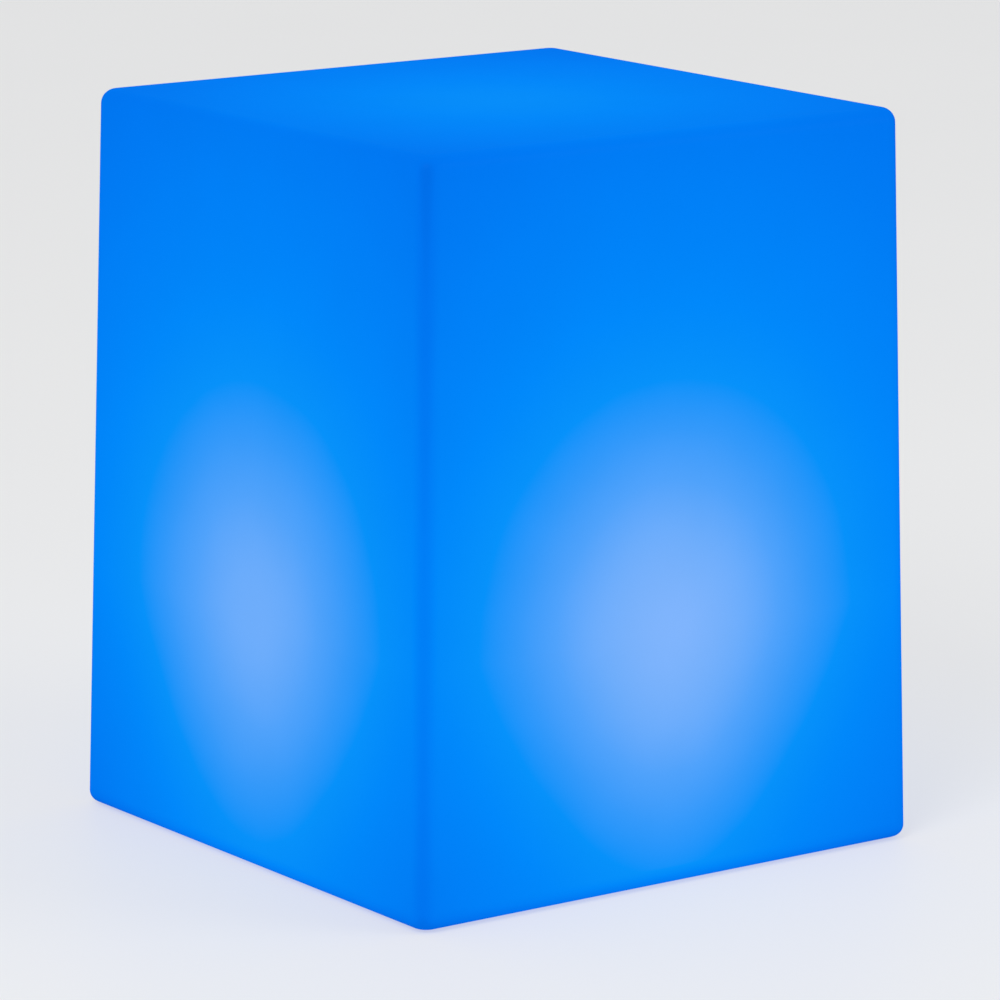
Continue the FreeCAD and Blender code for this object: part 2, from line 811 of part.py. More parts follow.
def battery_cells():
    cells = []
    for y in cell_rows():
        cell = drum(cell_radius, -cell_length / 2, cell_length / 2)
        cell.rotate(V(0, 0, 0), V(0, 1, 0), 90)
        cell.translate(V(0, y, cell_z))
        cells.append(cell)
    return cells


def battery_tabs():
    """Welded strips that join the cells at both ends."""
    width = (cell_count - 1) * cell_pitch + tab_strip_width
    tabs = []
    for side in (-1, 1):
        x = side * (cell_length + tab_strip_thickness) / 2
        tabs.append(block(tab_strip_thickness, width, cell_z - tab_strip_width / 2,
                          cell_z + tab_strip_width / 2, x))
    return tabs


def battery_holder():
    """A tray over the cells with end walls, side walls and screw ears."""
    length, width = 2 * holder_half_length, 2 * holder_half_width
    low = roof_under - holder_depth
    tray = block(length, width, low, roof_under)
    tray = tray.cut(block(length - 2 * holder_wall, width - 2 * holder_wall, low, holder_under))
    ear_low = holder_boss_under - holder_plate
    ear_width = 2 * holder_ear_radius * math.cos(math.pi / small_sides)
    ears = []
    for x, y in holder_screw_places():
        ears.append(prism(holder_ear_radius, ear_low, holder_boss_under, x, y))
        reach = holder_ear_x - holder_half_length + holder_wall
        middle = math.copysign(holder_ear_x - reach / 2, x)
        ears.append(block(reach, ear_width, ear_low, holder_boss_under, middle, y))
    holes = [prism(board_shank + thread_gap, ear_low, holder_boss_under, x, y)
             for x, y in holder_screw_places()]
    return bore_out(join(tray, ears), holes)


def battery_screws():
    seat = holder_boss_under - holder_plate
    return [screw(x, y, seat, board_shank, board_screw_length, board_head, board_head_height)
            for x, y in holder_screw_places()]


def battery_strap():
    """A band under the cells, hooked up both sides of the holder."""
    outer = 2 * (holder_half_width + seat_gap + strap_thickness)
    band = block(strap_width, outer, strap_under, roof_under - holder_depth / 3, strap_x)
    inner = outer - 2 * strap_thickness
    return band.cut(block(strap_width, inner, strap_under + strap_thickness, roof_under, strap_x))


def battery_lead():
    """The twin cable from an end strip, under the pack and down to its connector."""
    end = V(*battery_connector, 0)
    start = V(-cell_length / 2 - tab_strip_thickness, cell_pitch / 2, 0)

    def point(share, z):
        return start + (end - start) * share + UP * z

    return lead([point(0, cell_z - tab_strip_width / 2), point(0.05, strap_under - 2),
                 point(0.5, strap_under - 8), point(1, board_top + plug_rise), point(0.98, plug_z)],
                twin_lead_width, lead_height)


# ---- Lamp column ----
def column_screw_places():
    return on_ring(column_screw_ring, 4, column_screw_turn)


def column_foot():
    """The cast foot, with a round spigot up inside the column."""
    low = housing_top + plinth_height
    foot = join(drum(foot_radius, low, column_under),
                [drum(column_bore - part_gap, column_under, column_under + spigot_height)])
    holes = [prism(column_shank + thread_gap, low, column_under, x, y) for x, y in column_screw_places()]
    return bore_out(foot, holes)


def led_column():
    """The extruded heat sink: a hexagon outside and round inside."""
    column = hexagon(column_flats, column_under, column_top)
    return column.cut(drum(column_bore, column_under, column_top))


def column_screws():
    return [screw(x, y, column_under, column_shank, column_screw_length, column_head,
                  column_head_height, head_below=False)
            for x, y in column_screw_places()]


def led_boards():
    low, high = lamp_centre - strip_length / 2, lamp_centre + strip_length / 2
    strip = block(strip_width, strip_thickness, low, high, 0, (column_flats + strip_thickness) / 2)
    return [turned(strip, 60 * i) for i in range(6)]


def led_chip():
    """One packaged light source lying flat."""
    return block(chip_side, chip_side, 0, chip_height)


def led_packages():
    """Light sources up each strip and on the top board."""
    upright = led_chip()
    upright.rotate(V(0, 0, 0), V(1, 0, 0), -90)
    upright.translate(V(0, column_flats / 2 + strip_thickness, 0))
    chips = []
    for side in range(6):
        for i in range(chips_per_strip):
            chip = turned(upright, 60 * side)
            chip.translate(UP * (lamp_centre + (i - (chips_per_strip - 1) / 2) * chip_pitch))
            chips.append(chip)
    for x, y in on_ring(top_chip_ring, top_chip_count, top_chip_turn):
        chip = led_chip()
        chip.translate(V(x, y, column_top + strip_thickness))
        chips.append(chip)
    return chips


def top_led_board():
    return hexagon(column_flats - 2 * part_gap, column_top, column_top + strip_thickness)


def ir_receiver():
    """The remote control's receiver: a small block with a bulging face."""
    low = column_top + strip_thickness
    body = block(receiver_side, receiver_side * 0.6, low, low + receiver_height)
    bulge = prism(receiver_side * 0.35, low + 1, low + receiver_height - 0.5, 0, -receiver_side * 0.3)
    return join(body, [bulge])


def lead_grommet():
    """A soft ring in the roof's cable hole, with a flange above and a slot for the flat cable."""
    top = housing_top + grommet_flange_height
    sleeve = prism(grommet_radius - thread_gap, roof_under, housing_top, 0, grommet_y)
    flange = prism(grommet_flange, housing_top, top, 0, grommet_y)
    slot = block(lamp_lead_width + seat_gap, lead_height + seat_gap, roof_under, top, 0, grommet_y)
    return join(sleeve, [flange]).cut(slot)


def led_lead():
    """The lamp's flat cable: up beside the battery, through the roof and on to a strip's lower end."""
    plug_x, plug_y = lamp_connector
    face_y = column_flats / 2 + strip_thickness + lead_height / 2
    strip_end = lamp_centre - strip_length / 2
    return lead([V(plug_x, plug_y, plug_z), V(plug_x, plug_y, board_top + plug_rise),
                 V(plug_x, grommet_y, holder_under - lamp_lead_rise),
                 V(plug_x, grommet_y - 0.05, housing_top - 1),
                 V(plug_x, grommet_y, housing_top + lamp_lead_rise),
                 V(plug_x, face_y + 1, strip_end - lamp_lead_lap),
                 V(plug_x, face_y + 0.1, strip_end + lamp_lead_lap)], lamp_lead_width, lead_height)


# ---- Diffuser ----
def diffuser_screw_places():
    return on_ring(diffuser_screw_ring, 4)


def diffuser():
    """A clear tube with a flange below and a bevelled lid."""
    inner = diffuser_radius - diffuser_wall
    flange_top = diffuser_under + diffuser_flange_height
    lid_under = receiver_top + lid_clearance
    lid_top = lid_under + diffuser_wall
    tube = wide_drum(diffuser_radius, diffuser_under, lid_top)
    tube = tube.makeChamfer(diffuser_bevel, level_edges(tube, lid_top))
    tube = join(tube, [wide_drum(diffuser_flange, diffuser_under, flange_top)])
    bores = [wide_drum(inner, diffuser_under, lid_under)]
    bores += [prism(column_shank + part_gap, diffuser_under, flange_top, x, y)
              for x, y in diffuser_screw_places()]
    return bore_out(tube, bores)


def diffuser_seal():
    return band(diffuser_seal_inner, diffuser_seal_outer, housing_top, diffuser_under)


def diffuser_screws():
    length = diffuser_flange_height + diffuser_screw_grip
    return [screw(x, y, diffuser_under + diffuser_flange_height, column_shank, length,
                  column_head, column_head_height, head_below=False)
            for x, y in diffuser_screw_places()]


PIECES = {
    "shell": shell,
    "threaded_inserts": threaded_inserts,
    "foot_pads": foot_pads,
    "module_cover": module_cover,
    "module_gasket": module_gasket,
    "module_screws": module_screws,
    "module_housing": module_housing,
    "housing_seal": housing_seal,
    "housing_screws": housing_screws,
    "control_board": control_board,
    "board_components": board_components,
    "board_screws": board_screws,
    "power_switch": power_switch,
    "switch_plunger": switch_plunger,
    "button_cap": button_cap,
    "button_seal": button_seal,
    "charge_jack": charge_jack,
    "jack_pin": jack_pin,
    "jack_seal": jack_seal,
    "jack_nut": jack_nut,
    "jack_lead": jack_lead,
    "port_cover": port_cover,
    "port_cover_anchor": port_cover_anchor,
    "status_light_pipe": status_light_pipe,
    "vent_plug": vent_plug,
    "battery_cells": battery_cells,
    "battery_tabs": battery_tabs,
    "battery_holder": battery_holder,
    "battery_screws": battery_screws,
    "battery_strap": battery_strap,
    "battery_lead": battery_lead,
    "column_foot": column_foot,
    "led_column": led_column,
    "column_screws": column_screws,
    "led_boards": led_boards,
    "led_packages": led_packages,
    "top_led_board": top_led_board,
    "ir_receiver": ir_receiver,
    "lead_grommet": lead_grommet,
    "led_lead": led_lead,
    "diffuser": diffuser,
    "diffuser_seal": diffuser_seal,
    "diffuser_screws": diffuser_screws,
}


def main():
    os.makedirs("parts", exist_ok=True)
    for name, make in PIECES.items():
        made = make()
        shape = Part.makeCompound(made) if isinstance(made, list) else made
        shape.exportStep(f"parts/{name}.step")


main()
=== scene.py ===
"""A glowing garden light: the moulded body, lit from inside, and what closes its base.

Metres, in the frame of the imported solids. The body is a block of rings, less its hollow, the pocket
under its base and the holes. The round pieces are turned. Places come from the solids' boxes.
"""
import json
import math

import bmesh
import bpy
from mathutils import Matrix, Vector


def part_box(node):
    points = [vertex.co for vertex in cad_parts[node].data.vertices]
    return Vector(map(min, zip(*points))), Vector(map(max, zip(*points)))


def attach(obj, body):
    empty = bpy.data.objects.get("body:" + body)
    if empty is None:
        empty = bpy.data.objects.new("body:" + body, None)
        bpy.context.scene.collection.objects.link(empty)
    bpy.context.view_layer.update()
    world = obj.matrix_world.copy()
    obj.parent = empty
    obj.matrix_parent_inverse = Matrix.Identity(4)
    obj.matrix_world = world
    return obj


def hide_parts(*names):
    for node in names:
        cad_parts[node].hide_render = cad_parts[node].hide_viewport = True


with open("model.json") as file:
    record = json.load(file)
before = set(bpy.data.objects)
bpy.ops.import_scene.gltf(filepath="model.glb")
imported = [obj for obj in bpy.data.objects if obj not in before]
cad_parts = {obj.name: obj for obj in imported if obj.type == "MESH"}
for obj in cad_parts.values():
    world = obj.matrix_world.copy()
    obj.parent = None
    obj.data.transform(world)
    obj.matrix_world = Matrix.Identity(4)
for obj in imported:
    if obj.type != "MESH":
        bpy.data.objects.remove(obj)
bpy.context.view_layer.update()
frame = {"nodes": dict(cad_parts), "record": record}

mm = 0.001
nodes = frame["nodes"]

# ---- Sizes of the body ----
shell_low, shell_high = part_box("shell")
cover_low, cover_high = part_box("module_cover")
gasket_low, gasket_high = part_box("module_gasket")
base_half = shell_high.x
side_lean = 10 * mm
wall = 4 * mm
corner = 13 * mm
top_edge = 10 * mm
bottom_edge = 8 * mm
rim_width = 28 * mm
recess_corner = 50 * mm
recess_edge = 7 * mm
recess_draft = 1.5 * mm
mouth_edge = 2.4 * mm
panel_low = gasket_high.z
panel_high = panel_low + wall
hole_radius = 74 * mm
rim_low = shell_low.z
top = shell_high.z
gap = 0.3 * mm                  # between pieces that pass each other
snug = gap / 3                  # around a pin or stem in its hole

insert_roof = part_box("threaded_inserts")[1].z
insert_flats = 9 * mm
boss_wall = 4 * mm
boss_roof = 3 * mm
fixing_ring, fixing_count, fixing_turn = 84.5 * mm, 6, 30
pad_low, pad_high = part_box("foot_pads")
pad_radius = 12 * mm
pad_edge = 0.8 * mm
pad_dish = 0.66, 0.72           # where its slope starts and ends, in shares of the radius
pad_reach = pad_high.x - pad_radius
pad_places = [(x, y) for x in (pad_reach, -pad_reach) for y in (pad_reach, -pad_reach)]
flute_count = 8
flute_inner = 103 * mm
flute_outer = 157 * mm
flute_width = 22 * mm
flute_rise = 6 * mm
flute_slope = flute_rise / 4    # how far each side leans in up to the flute's top
flute_lip = 1.5 * mm

# ---- Sizes of the cover and of what is in it ----
cover_radius = cover_high.x
cover_under = cover_low.z
cover_top = gasket_low.z
cover_edge = 1.5 * mm
cover_below, cover_root = cover_under - mm, cover_top - mm      # where cuts and raised forms start
standoff_top = cover_high.z
button_low, button_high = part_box("button_cap")
plunger_low, plunger_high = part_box("switch_plunger")
vent_low, vent_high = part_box("vent_plug")
pipe_low, pipe_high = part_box("status_light_pipe")
stopper_low, stopper_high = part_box("port_cover")
jack_low, jack_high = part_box("charge_jack")
anchor_low, anchor_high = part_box("port_cover_anchor")
pin_low, pin_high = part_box("jack_pin")
post_screw_low, post_screw_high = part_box("housing_screws")
button_x = (button_low.x + button_high.x) / 2
jack_x = (jack_low.x + jack_high.x) / 2
vent_y = (vent_low.y + vent_high.y) / 2
pipe_y = (pipe_low.y + pipe_high.y) / 2
button_radius = 9 * mm
button_edge = 0.8 * mm
button_dish = [(2.5 * mm, 0.55 * mm), (5 * mm, 0.45 * mm), (6.5 * mm, 0.12 * mm), (7.1 * mm, 0)]
collar_radius = button_high.x - button_x
collar_height = 1 * mm
guide_wall = 2 * mm
guide_height = 7 * mm
stem_radius = 3.4 * mm
stem_height = 4.5 * mm
stopper_radius = 9 * mm
stopper_thickness = 1.5 * mm
stopper_edge = 0.4 * mm
lid_groove = [(5.6 * mm, 0), (5.9 * mm, 0.3 * mm), (6.3 * mm, 0.3 * mm), (6.6 * mm, 0)]
plug_radius = 2.5 * mm
plug_edge = 0.8 * mm
tab_half = 3 * mm
tab_ribs = 0.8 * mm, 1.7 * mm, 2.6 * mm     # from the tab's end
tab_rib_width, tab_rib_half, tab_rib_root = 0.4 * mm, 2 * mm, 0.5 * mm
tether_half = 2.5 * mm
tether_under = anchor_low.z
tether_thickness = 1.2 * mm
tether_top = tether_under + tether_thickness
hinge_x = 32 * mm
hinge_roll = 0.6 * mm
hinge_steps = 24
pocket_depth = 3.9 * mm
channel_depth = 1.7 * mm
inlet_pad_radius = 12 * mm
inlet_pad_height = 3 * mm
barrel_radius = 6.1 * mm
anchor_x = 40 * mm
anchor_radius = 1.9 * mm
anchor_stem = 1.8 * mm
anchor_bulb = 2.6 * mm
anchor_bulb_height = 1.2 * mm
anchor_slope = anchor_bulb_height * 0.6
inlet_flange = 1.5 * mm
inlet_flange_radius = 7.5 * mm
inlet_edge = 0.4 * mm
inlet_bore = 3.1 * mm
inlet_bore_depth = 9.5 * mm
inlet_mouth = [(0.7 * mm, -0.2 * mm), (0, 0.5 * mm)]        # its bevel, past the bore and up
inlet_pin_tip = 0.6 * mm
inlet_tag = Vector((2.4, 0.6, 2)) * mm
inlet_tag_places = [(2.5 * mm, 1.8 * mm), (2.5 * mm, -1.8 * mm)]
vent_stem = 3.9 * mm
vent_bead = 4.3 * mm
vent_seat = 0.2 * mm
vent_edge = 0.5 * mm
vent_bead_edge = 0.4 * mm
vent_dish = [(2.2 * mm, 0.3 * mm), (2.6 * mm, 0)]
vent_slots = 8
vent_slot_half, vent_slot_depth, vent_slot_height = 0.4 * mm, 1.6 * mm, 0.7 * mm
pipe_radius = 1.5 * mm
pipe_edge = 0.4 * mm
pipe_collar = 2.4 * mm
pipe_collar_height = 1 * mm
screw_edge = 0.5 * mm
screw_shank = 2.5 * mm
screw_head = 4.75 * mm
screw_head_height = 3 * mm
screw_length = 14 * mm
screw_socket = 4 * mm
post_ring, post_count, post_turn = 65.5 * mm, 4, 45
post_radius = 3 * mm
post_height = 1 * mm
post_bore = 2.05 * mm
post_counterbore = 3.55 * mm
post_counterbore_depth = 2 * mm
post_screw_head = 3.25 * mm
post_screw_shank = 1.95 * mm
post_screw_socket = 2.5 * mm
standoff_x, standoff_y = 42 * mm, 25 * mm
standoff_radius = 3.5 * mm
standoff_bore = 1.4 * mm
standoff_bore_depth = 7 * mm
rib_inner, rib_outer = 33 * mm, 60 * mm
rib_half, rib_height, rib_count = 0.8 * mm, 3 * mm, 8

# ---- Fineness of the meshes ----
corner_steps = 14
edge_steps = 10
side_steps = 8
support = 1.0 * mm              # rings and points close to an edge keep the flats flat
foot_steps = 5
round_steps = 64
bore_steps = 40
pin_steps = 32
sliver = 0.0005 * mm            # points closer than this are one
crisp_angle = 32                # in degrees: sharper edges than this aren't smoothed

# ---- Glow ----
lamp_low, lamp_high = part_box("led_boards")
lamp_middle = (lamp_low.z + lamp_high.z) / 2
glow_centre = Vector((-3 * mm, -10.5 * mm, lamp_middle - 3 * mm))    # a little off the lamp
glow_reach = 185.5 * mm         # from the lamp to a wall that shows the brightest glow
glow_fall = 3.32                # how fast the glow fades with distance
glow_height = 0.78              # under 1 draws the glow out upward and downward
glow_width = 0.84               # under 1 draws it out sideways
glow_narrowing = 2.05           # how much narrower it gets with each metre under the lamp
corner_shade = 0.5              # how much darker the thicker plastic of an upright corner is
rim_shade = 0.15                # the same for the level edges
foot_shade = 0.7                # the same at the foot rim, which the lamp module shades
foot_fade = 15 * mm
glow_patch = 60 * mm            # the size of the paler and darker patches in the wall
glow_unevenness = 0.06          # how much they differ


# ---- Meshes ----
def add_piece(name, vertices, faces):
    mesh = bpy.data.meshes.new(name)
    mesh.from_pydata([tuple(point) for point in vertices], [], faces)
    mesh.validate()
    piece = bpy.data.objects.new(name, mesh)
    bpy.context.scene.collection.objects.link(piece)
    return piece


def from_rings(name, rings):
    """Join rings of equal count, one after another, and close the ends with flat caps."""
    count = len(rings[0])
    last = (len(rings) - 1) * count
    faces = []
    for low in range(0, last, count):
        for i in range(count):
            j = (i + 1) % count
            faces.append((low + i, low + j, low + count + j, low + count + i))
    faces += [tuple(reversed(range(count))), tuple(range(last, last + count))]
    return add_piece(name, [point for ring in rings for point in ring], faces)


def outward(piece):
    """Clear slivers from a closed mesh and turn all its faces to the outside."""
    mesh = bmesh.new()
    mesh.from_mesh(piece.data)
    bmesh.ops.remove_doubles(mesh, verts=mesh.verts, dist=sliver)
    bmesh.ops.dissolve_degenerate(mesh, dist=sliver, edges=mesh.edges)
    bmesh.ops.recalc_face_normals(mesh, faces=mesh.faces)
    mesh.to_mesh(piece.data)
    mesh.free()
    return piece


def join(name, pieces):
    """One mesh from several that don't meet."""
    mesh = bmesh.new()
    for piece in pieces:
        mesh.from_mesh(piece.data)
    joined = bpy.data.meshes.new(name)
    mesh.to_mesh(joined)
    mesh.free()
    for piece in pieces:
        bpy.data.objects.remove(piece)
    whole = bpy.data.objects.new(name, joined)
    bpy.context.scene.collection.objects.link(whole)
    return whole


def carve(piece, tools, operation="DIFFERENCE"):
    """Cut the tools out of a piece, or with UNION, add them to it."""
    tool = join("tool", tools)
    modifier = piece.modifiers.new("carve", "BOOLEAN")
    modifier.operation, modifier.object, modifier.solver = operation, tool, "EXACT"
    shape = piece.evaluated_get(bpy.context.evaluated_depsgraph_get())
    mesh = bpy.data.meshes.new_from_object(shape)
    piece.modifiers.clear()
    piece.data = mesh
    bpy.data.objects.remove(tool)
    return piece


def square_ring(half, radius, z):
    """A square with round corners."""
    straight = half - radius
    close = support / (2 * straight)
    shares = [0, close] + [i / side_steps for i in range(1, side_steps)] + [1 - close, 1]
    points = [Vector((half, straight * (2 * share - 1), z)) for share in shares]
    for step in range(1, corner_steps):
        angle = math.pi / 2 * step / corner_steps
        points.append(Vector((straight + radius * math.cos(angle),
                              straight + radius * math.sin(angle), z)))
    return [Matrix.Rotation(math.pi / 2 * turn, 3, "Z") @ point
            for turn in range(4) for point in points]


def turned(name, profile, x=0.0, y=0.0, count=round_steps):
    """A round piece from its radii and heights, closed at both ends."""
    angles = [2 * math.pi * i / count for i in range(count)]
    sides = [(math.cos(angle), math.sin(angle)) for angle in angles]
    return outward(from_rings(name, [
        [Vector((x + radius * side_x, y + radius * side_y, z)) for side_x, side_y in sides]
        for radius, z in profile]))


def rounding(radius, steps=edge_steps):
    """How far in and how far along a round edge is, from its start to its end."""
    angles = [math.pi / 2 * i / steps for i in range(steps + 1)]
    return [(radius * (1 - math.cos(angle)), radius * math.sin(angle)) for angle in angles]


def round_foot(radius, edge, low):
    """The lower edge of a turned piece, rounded."""
    return [(radius - aside, low + edge - along)
            for aside, along in reversed(rounding(edge, foot_steps))]


def bar(low, high, turn=0.0):
    """A straight bar between two corners, turned about the middle of the base."""
    spin = Matrix.Rotation(math.radians(turn), 3, "Z")
    corners = [(low.x, low.y), (high.x, low.y), (high.x, high.y), (low.x, high.y)]
    return outward(from_rings("bar", [[spin @ Vector((x, y, z)) for x, y in corners]
                                      for z in (low.z, high.z)]))


def drum(radius, low, high, x=0.0, y=0.0, count=bore_steps):
    """A plain round bar, for what is cut away or added."""
    return turned("drum", [(radius, low), (radius, high)], x, y, count)


def hexagon(flats, low, high, place):
    """A hexagonal bar with flats facing +Y and -Y."""
    return drum(flats / math.sqrt(3), low, high, *place, 6)


def ring_places(radius, count, start):
    angles = [math.radians(start + 360 * i / count) for i in range(count)]
    return [(radius * math.cos(angle), radius * math.sin(angle)) for angle in angles]


fixing_places = ring_places(fixing_ring, fixing_count, fixing_turn)
post_places = ring_places(post_ring, post_count, post_turn)
standoff_places = [(x, y) for x in (standoff_x, -standoff_x) for y in (standoff_y, -standoff_y)]


# ---- The body ----
def body_half(z):
    return base_half - side_lean * (z - rim_low) / (top - rim_low)


def skin(inset, edges_in):
    """A closed block inset from the body's outside, with its edges' radii smaller by as much."""
    low, high = rim_low + inset, top - inset
    radius, low_edge, high_edge = corner - inset, bottom_edge - edges_in, top_edge - edges_in
    low_half, high_half = body_half(low + low_edge) - inset, body_half(high - high_edge) - inset
    rings = [(low_edge + support, low)]
    rings += [(aside, low + low_edge - along) for aside, along in reversed(rounding(low_edge))]
    rings = [(low_half, aside, z) for aside, z in rings]
    rings.append((body_half(low + low_edge + support) - inset, 0, low + low_edge + support))
    rings.append((body_half(high - high_edge - support) - inset, 0, high - high_edge - support))
    rings += [(high_half, aside, high - high_edge + along) for aside, along in rounding(high_edge)]
    rings.append((high_half, high_edge + support, high))
    return outward(from_rings("skin", [square_ring(half - aside, max(radius - aside, support), z)
                                       for half, aside, z in rings]))


def recess(grown):
    """The pocket under the base, or with grown, the moulding's inner skin over it."""
    half, edge = base_half - rim_width + grown, recess_edge + grown
    radius, roof = recess_corner + grown, panel_low + grown
    rings = [(0 if grown else -mouth_edge, rim_low - mouth_edge)]
    if not grown:
        rings += [(aside - mouth_edge, rim_low + along) for aside, along in rounding(mouth_edge)]
    rings.append((recess_draft, roof - edge))
    rings += [(recess_draft + aside, roof - edge + along) for aside, along in rounding(edge)]
    return outward(from_rings("recess", [square_ring(half - aside, radius - aside, z)
                                         for aside, z in rings]))


def flutes(low, roof, narrowed, lip):
    """Stiffening flutes pressed up in the base panel, with round ends and sloping sides."""
    middle = (flute_inner + flute_outer) / 2
    straight = (flute_outer - flute_inner - flute_width) / 2

    def ring(half_width, z):
        points = []
        for end in (1, -1):
            for i in range(edge_steps + 1):
                angle = math.pi * (i / edge_steps - 0.5)
                points.append(Vector((middle + end * (straight + half_width * math.cos(angle)),
                                      end * half_width * math.sin(angle), z)))
        return points

    half = flute_width / 2 - narrowed
    levels = [(half + lip, low), (half + lip, low + wall), (half, low + wall + max(lip, support)),
              (half - flute_slope, roof - support), (half - flute_slope - support, roof)]
    bars = []
    for i in range(flute_count):
        spin = Matrix.Rotation(2 * math.pi * i / flute_count, 3, "Z")
        bars.append(outward(from_rings("flute", [[spin @ point for point in ring(width, z)]
                                                 for width, z in levels])))
    return bars


def make_body():
    """The outer skin less the hollow, which is an inner skin less the recess, flutes and bosses."""
    body, inside = skin(0.0, 0.0), skin(wall, wall)
    low = panel_low - wall
    carve(body, [recess(0.0)])
    carve(inside, [recess(wall)])
    carve(inside, flutes(low, panel_high + flute_rise, 0.0, 0.0))
    carve(inside, [hexagon(insert_flats + 2 * boss_wall, low, insert_roof + boss_roof, place)
                   for place in fixing_places])
    carve(body, [inside])
    carve(body, flutes(low, panel_low + flute_rise, wall, flute_lip))
    seats = [drum(pad_radius + gap, rim_low - wall, pad_high.z, x, y, round_steps)
             for x, y in pad_places]
    hole = drum(hole_radius, low, panel_high + wall, count=round_steps)
    bores = [hexagon(insert_flats + gap, low, insert_roof, place) for place in fixing_places]
    carve(body, seats + [hole] + bores)
    body.name = "glow_body"
    return outward(body)


# ---- Pieces under the base ----
def make_pads():
    """Rubber pads with a dished face."""
    low = pad_low.z
    dish_start, dish_end = pad_dish
    profile = [(pad_radius * dish_start, low + pad_edge), (pad_radius * dish_end, low)]
    profile += round_foot(pad_radius, pad_edge, low) + [(pad_radius, pad_high.z)]
    return join("rubber_pads", [turned("pad", profile, x, y) for x, y in pad_places])


def make_screws(name, places, low, head, seat, shank, end, socket):
    """Round-headed screws with hexagonal sockets, from the heads' low faces up to the ends."""
    profile = round_foot(head, screw_edge, low)
    profile += [(head, seat), (shank, seat), (shank, end - shank / 2), (shank / 2, end)]
    screws = join(name, [turned("screw", profile, x, y, bore_steps) for x, y in places])
    return carve(screws, [hexagon(socket, low - gap, low + socket / 2, place) for place in places])


def make_cover_screws():
    return make_screws("cover_screws", fixing_places, low=cover_under - screw_head_height,
                       head=screw_head, seat=cover_under, shank=screw_shank,
                       end=cover_under + screw_length, socket=screw_socket)


def make_cup_screws():
    return make_screws("cup_screws", post_places, low=post_screw_low.z, head=post_screw_head,
                       seat=cover_under + post_counterbore_depth, shank=post_screw_shank,
                       end=post_screw_high.z, socket=post_screw_socket)


def make_cover():
    """The round cover, with its guide, inlet pad, standoffs, posts and ribs inside."""
    profile = round_foot(cover_radius, cover_edge, cover_under) + [(cover_radius, cover_top)]
    cover = turned("base_cover", profile, count=2 * round_steps)
    guide_top, inlet_pad_top = cover_top + guide_height, cover_top + inlet_pad_height
    post_top, past_top = cover_top + post_height, cover_top + mm
    raised = [drum(collar_radius + gap + guide_wall, cover_root, guide_top, button_x),
              drum(inlet_pad_radius, cover_root, inlet_pad_top, jack_x)]
    raised += [drum(standoff_radius, cover_root, standoff_top, x, y) for x, y in standoff_places]
    raised += [drum(post_radius, cover_root, post_top, x, y) for x, y in post_places]
    raised += [bar(Vector((rib_inner, -rib_half, cover_root)),
                   Vector((rib_outer, rib_half, cover_top + rib_height)),
                   360 * (i + 0.5) / rib_count) for i in range(rib_count)]
    carve(cover, raised, "UNION")
    through = [drum(screw_shank + gap, cover_below, past_top, x, y) for x, y in fixing_places]
    through += [drum(post_bore, cover_below, post_top + mm, x, y) for x, y in post_places]
    through += [drum(standoff_bore, standoff_top - standoff_bore_depth, standoff_top + mm, x, y)
                for x, y in standoff_places]
    through += [drum(button_radius + gap, cover_below, cover_top + mm / 2, button_x),
                drum(barrel_radius, cover_below, inlet_pad_top + mm, jack_x),
                drum(anchor_radius, cover_below, past_top, anchor_x),
                drum(pipe_radius + snug, cover_below, past_top, 0, pipe_y),
                drum(vent_stem + snug, cover_below, past_top, 0, vent_y)]
    wide = [drum(post_counterbore, cover_below, cover_under + post_counterbore_depth, x, y)
            for x, y in post_places]
    wide += [drum(collar_radius + gap, cover_top, guide_top + mm, button_x),
             drum(stopper_radius + gap, cover_below, cover_under + pocket_depth, jack_x)]
    channel_top = cover_under + channel_depth
    tether = bar(Vector((jack_x, -tether_half - gap, cover_below)),
                 Vector((anchor_high.x + gap, tether_half + gap, channel_top)))
    tab = bar(Vector((stopper_low.x, -tab_half - gap, cover_below)),
              Vector((jack_x, tab_half + gap, channel_top)))
    fingertip = drum(2 * tab_half, cover_below, channel_top, stopper_low.x)
    for tools in (through, wide, [tether], [tab], [fingertip]):
        carve(cover, tools)
    return outward(cover)


def make_button():
    """A dished cap with a collar inside the cover, and a stem with a square socket."""
    low, stem_low = button_low.z, button_high.z - stem_height
    collar_low = stem_low - collar_height
    profile = [(radius, low + depth) for radius, depth in button_dish]
    profile += round_foot(button_radius, button_edge, low)
    profile += [(button_radius, collar_low), (collar_radius, collar_low), (collar_radius, stem_low),
                (stem_radius, stem_low), (stem_radius, button_high.z)]
    slack = Vector((snug, snug, 0))
    end = Vector((plunger_high.x, plunger_high.y, button_high.z + mm))
    return carve(turned("button", profile, button_x), [bar(plunger_low - slack, end + slack)])


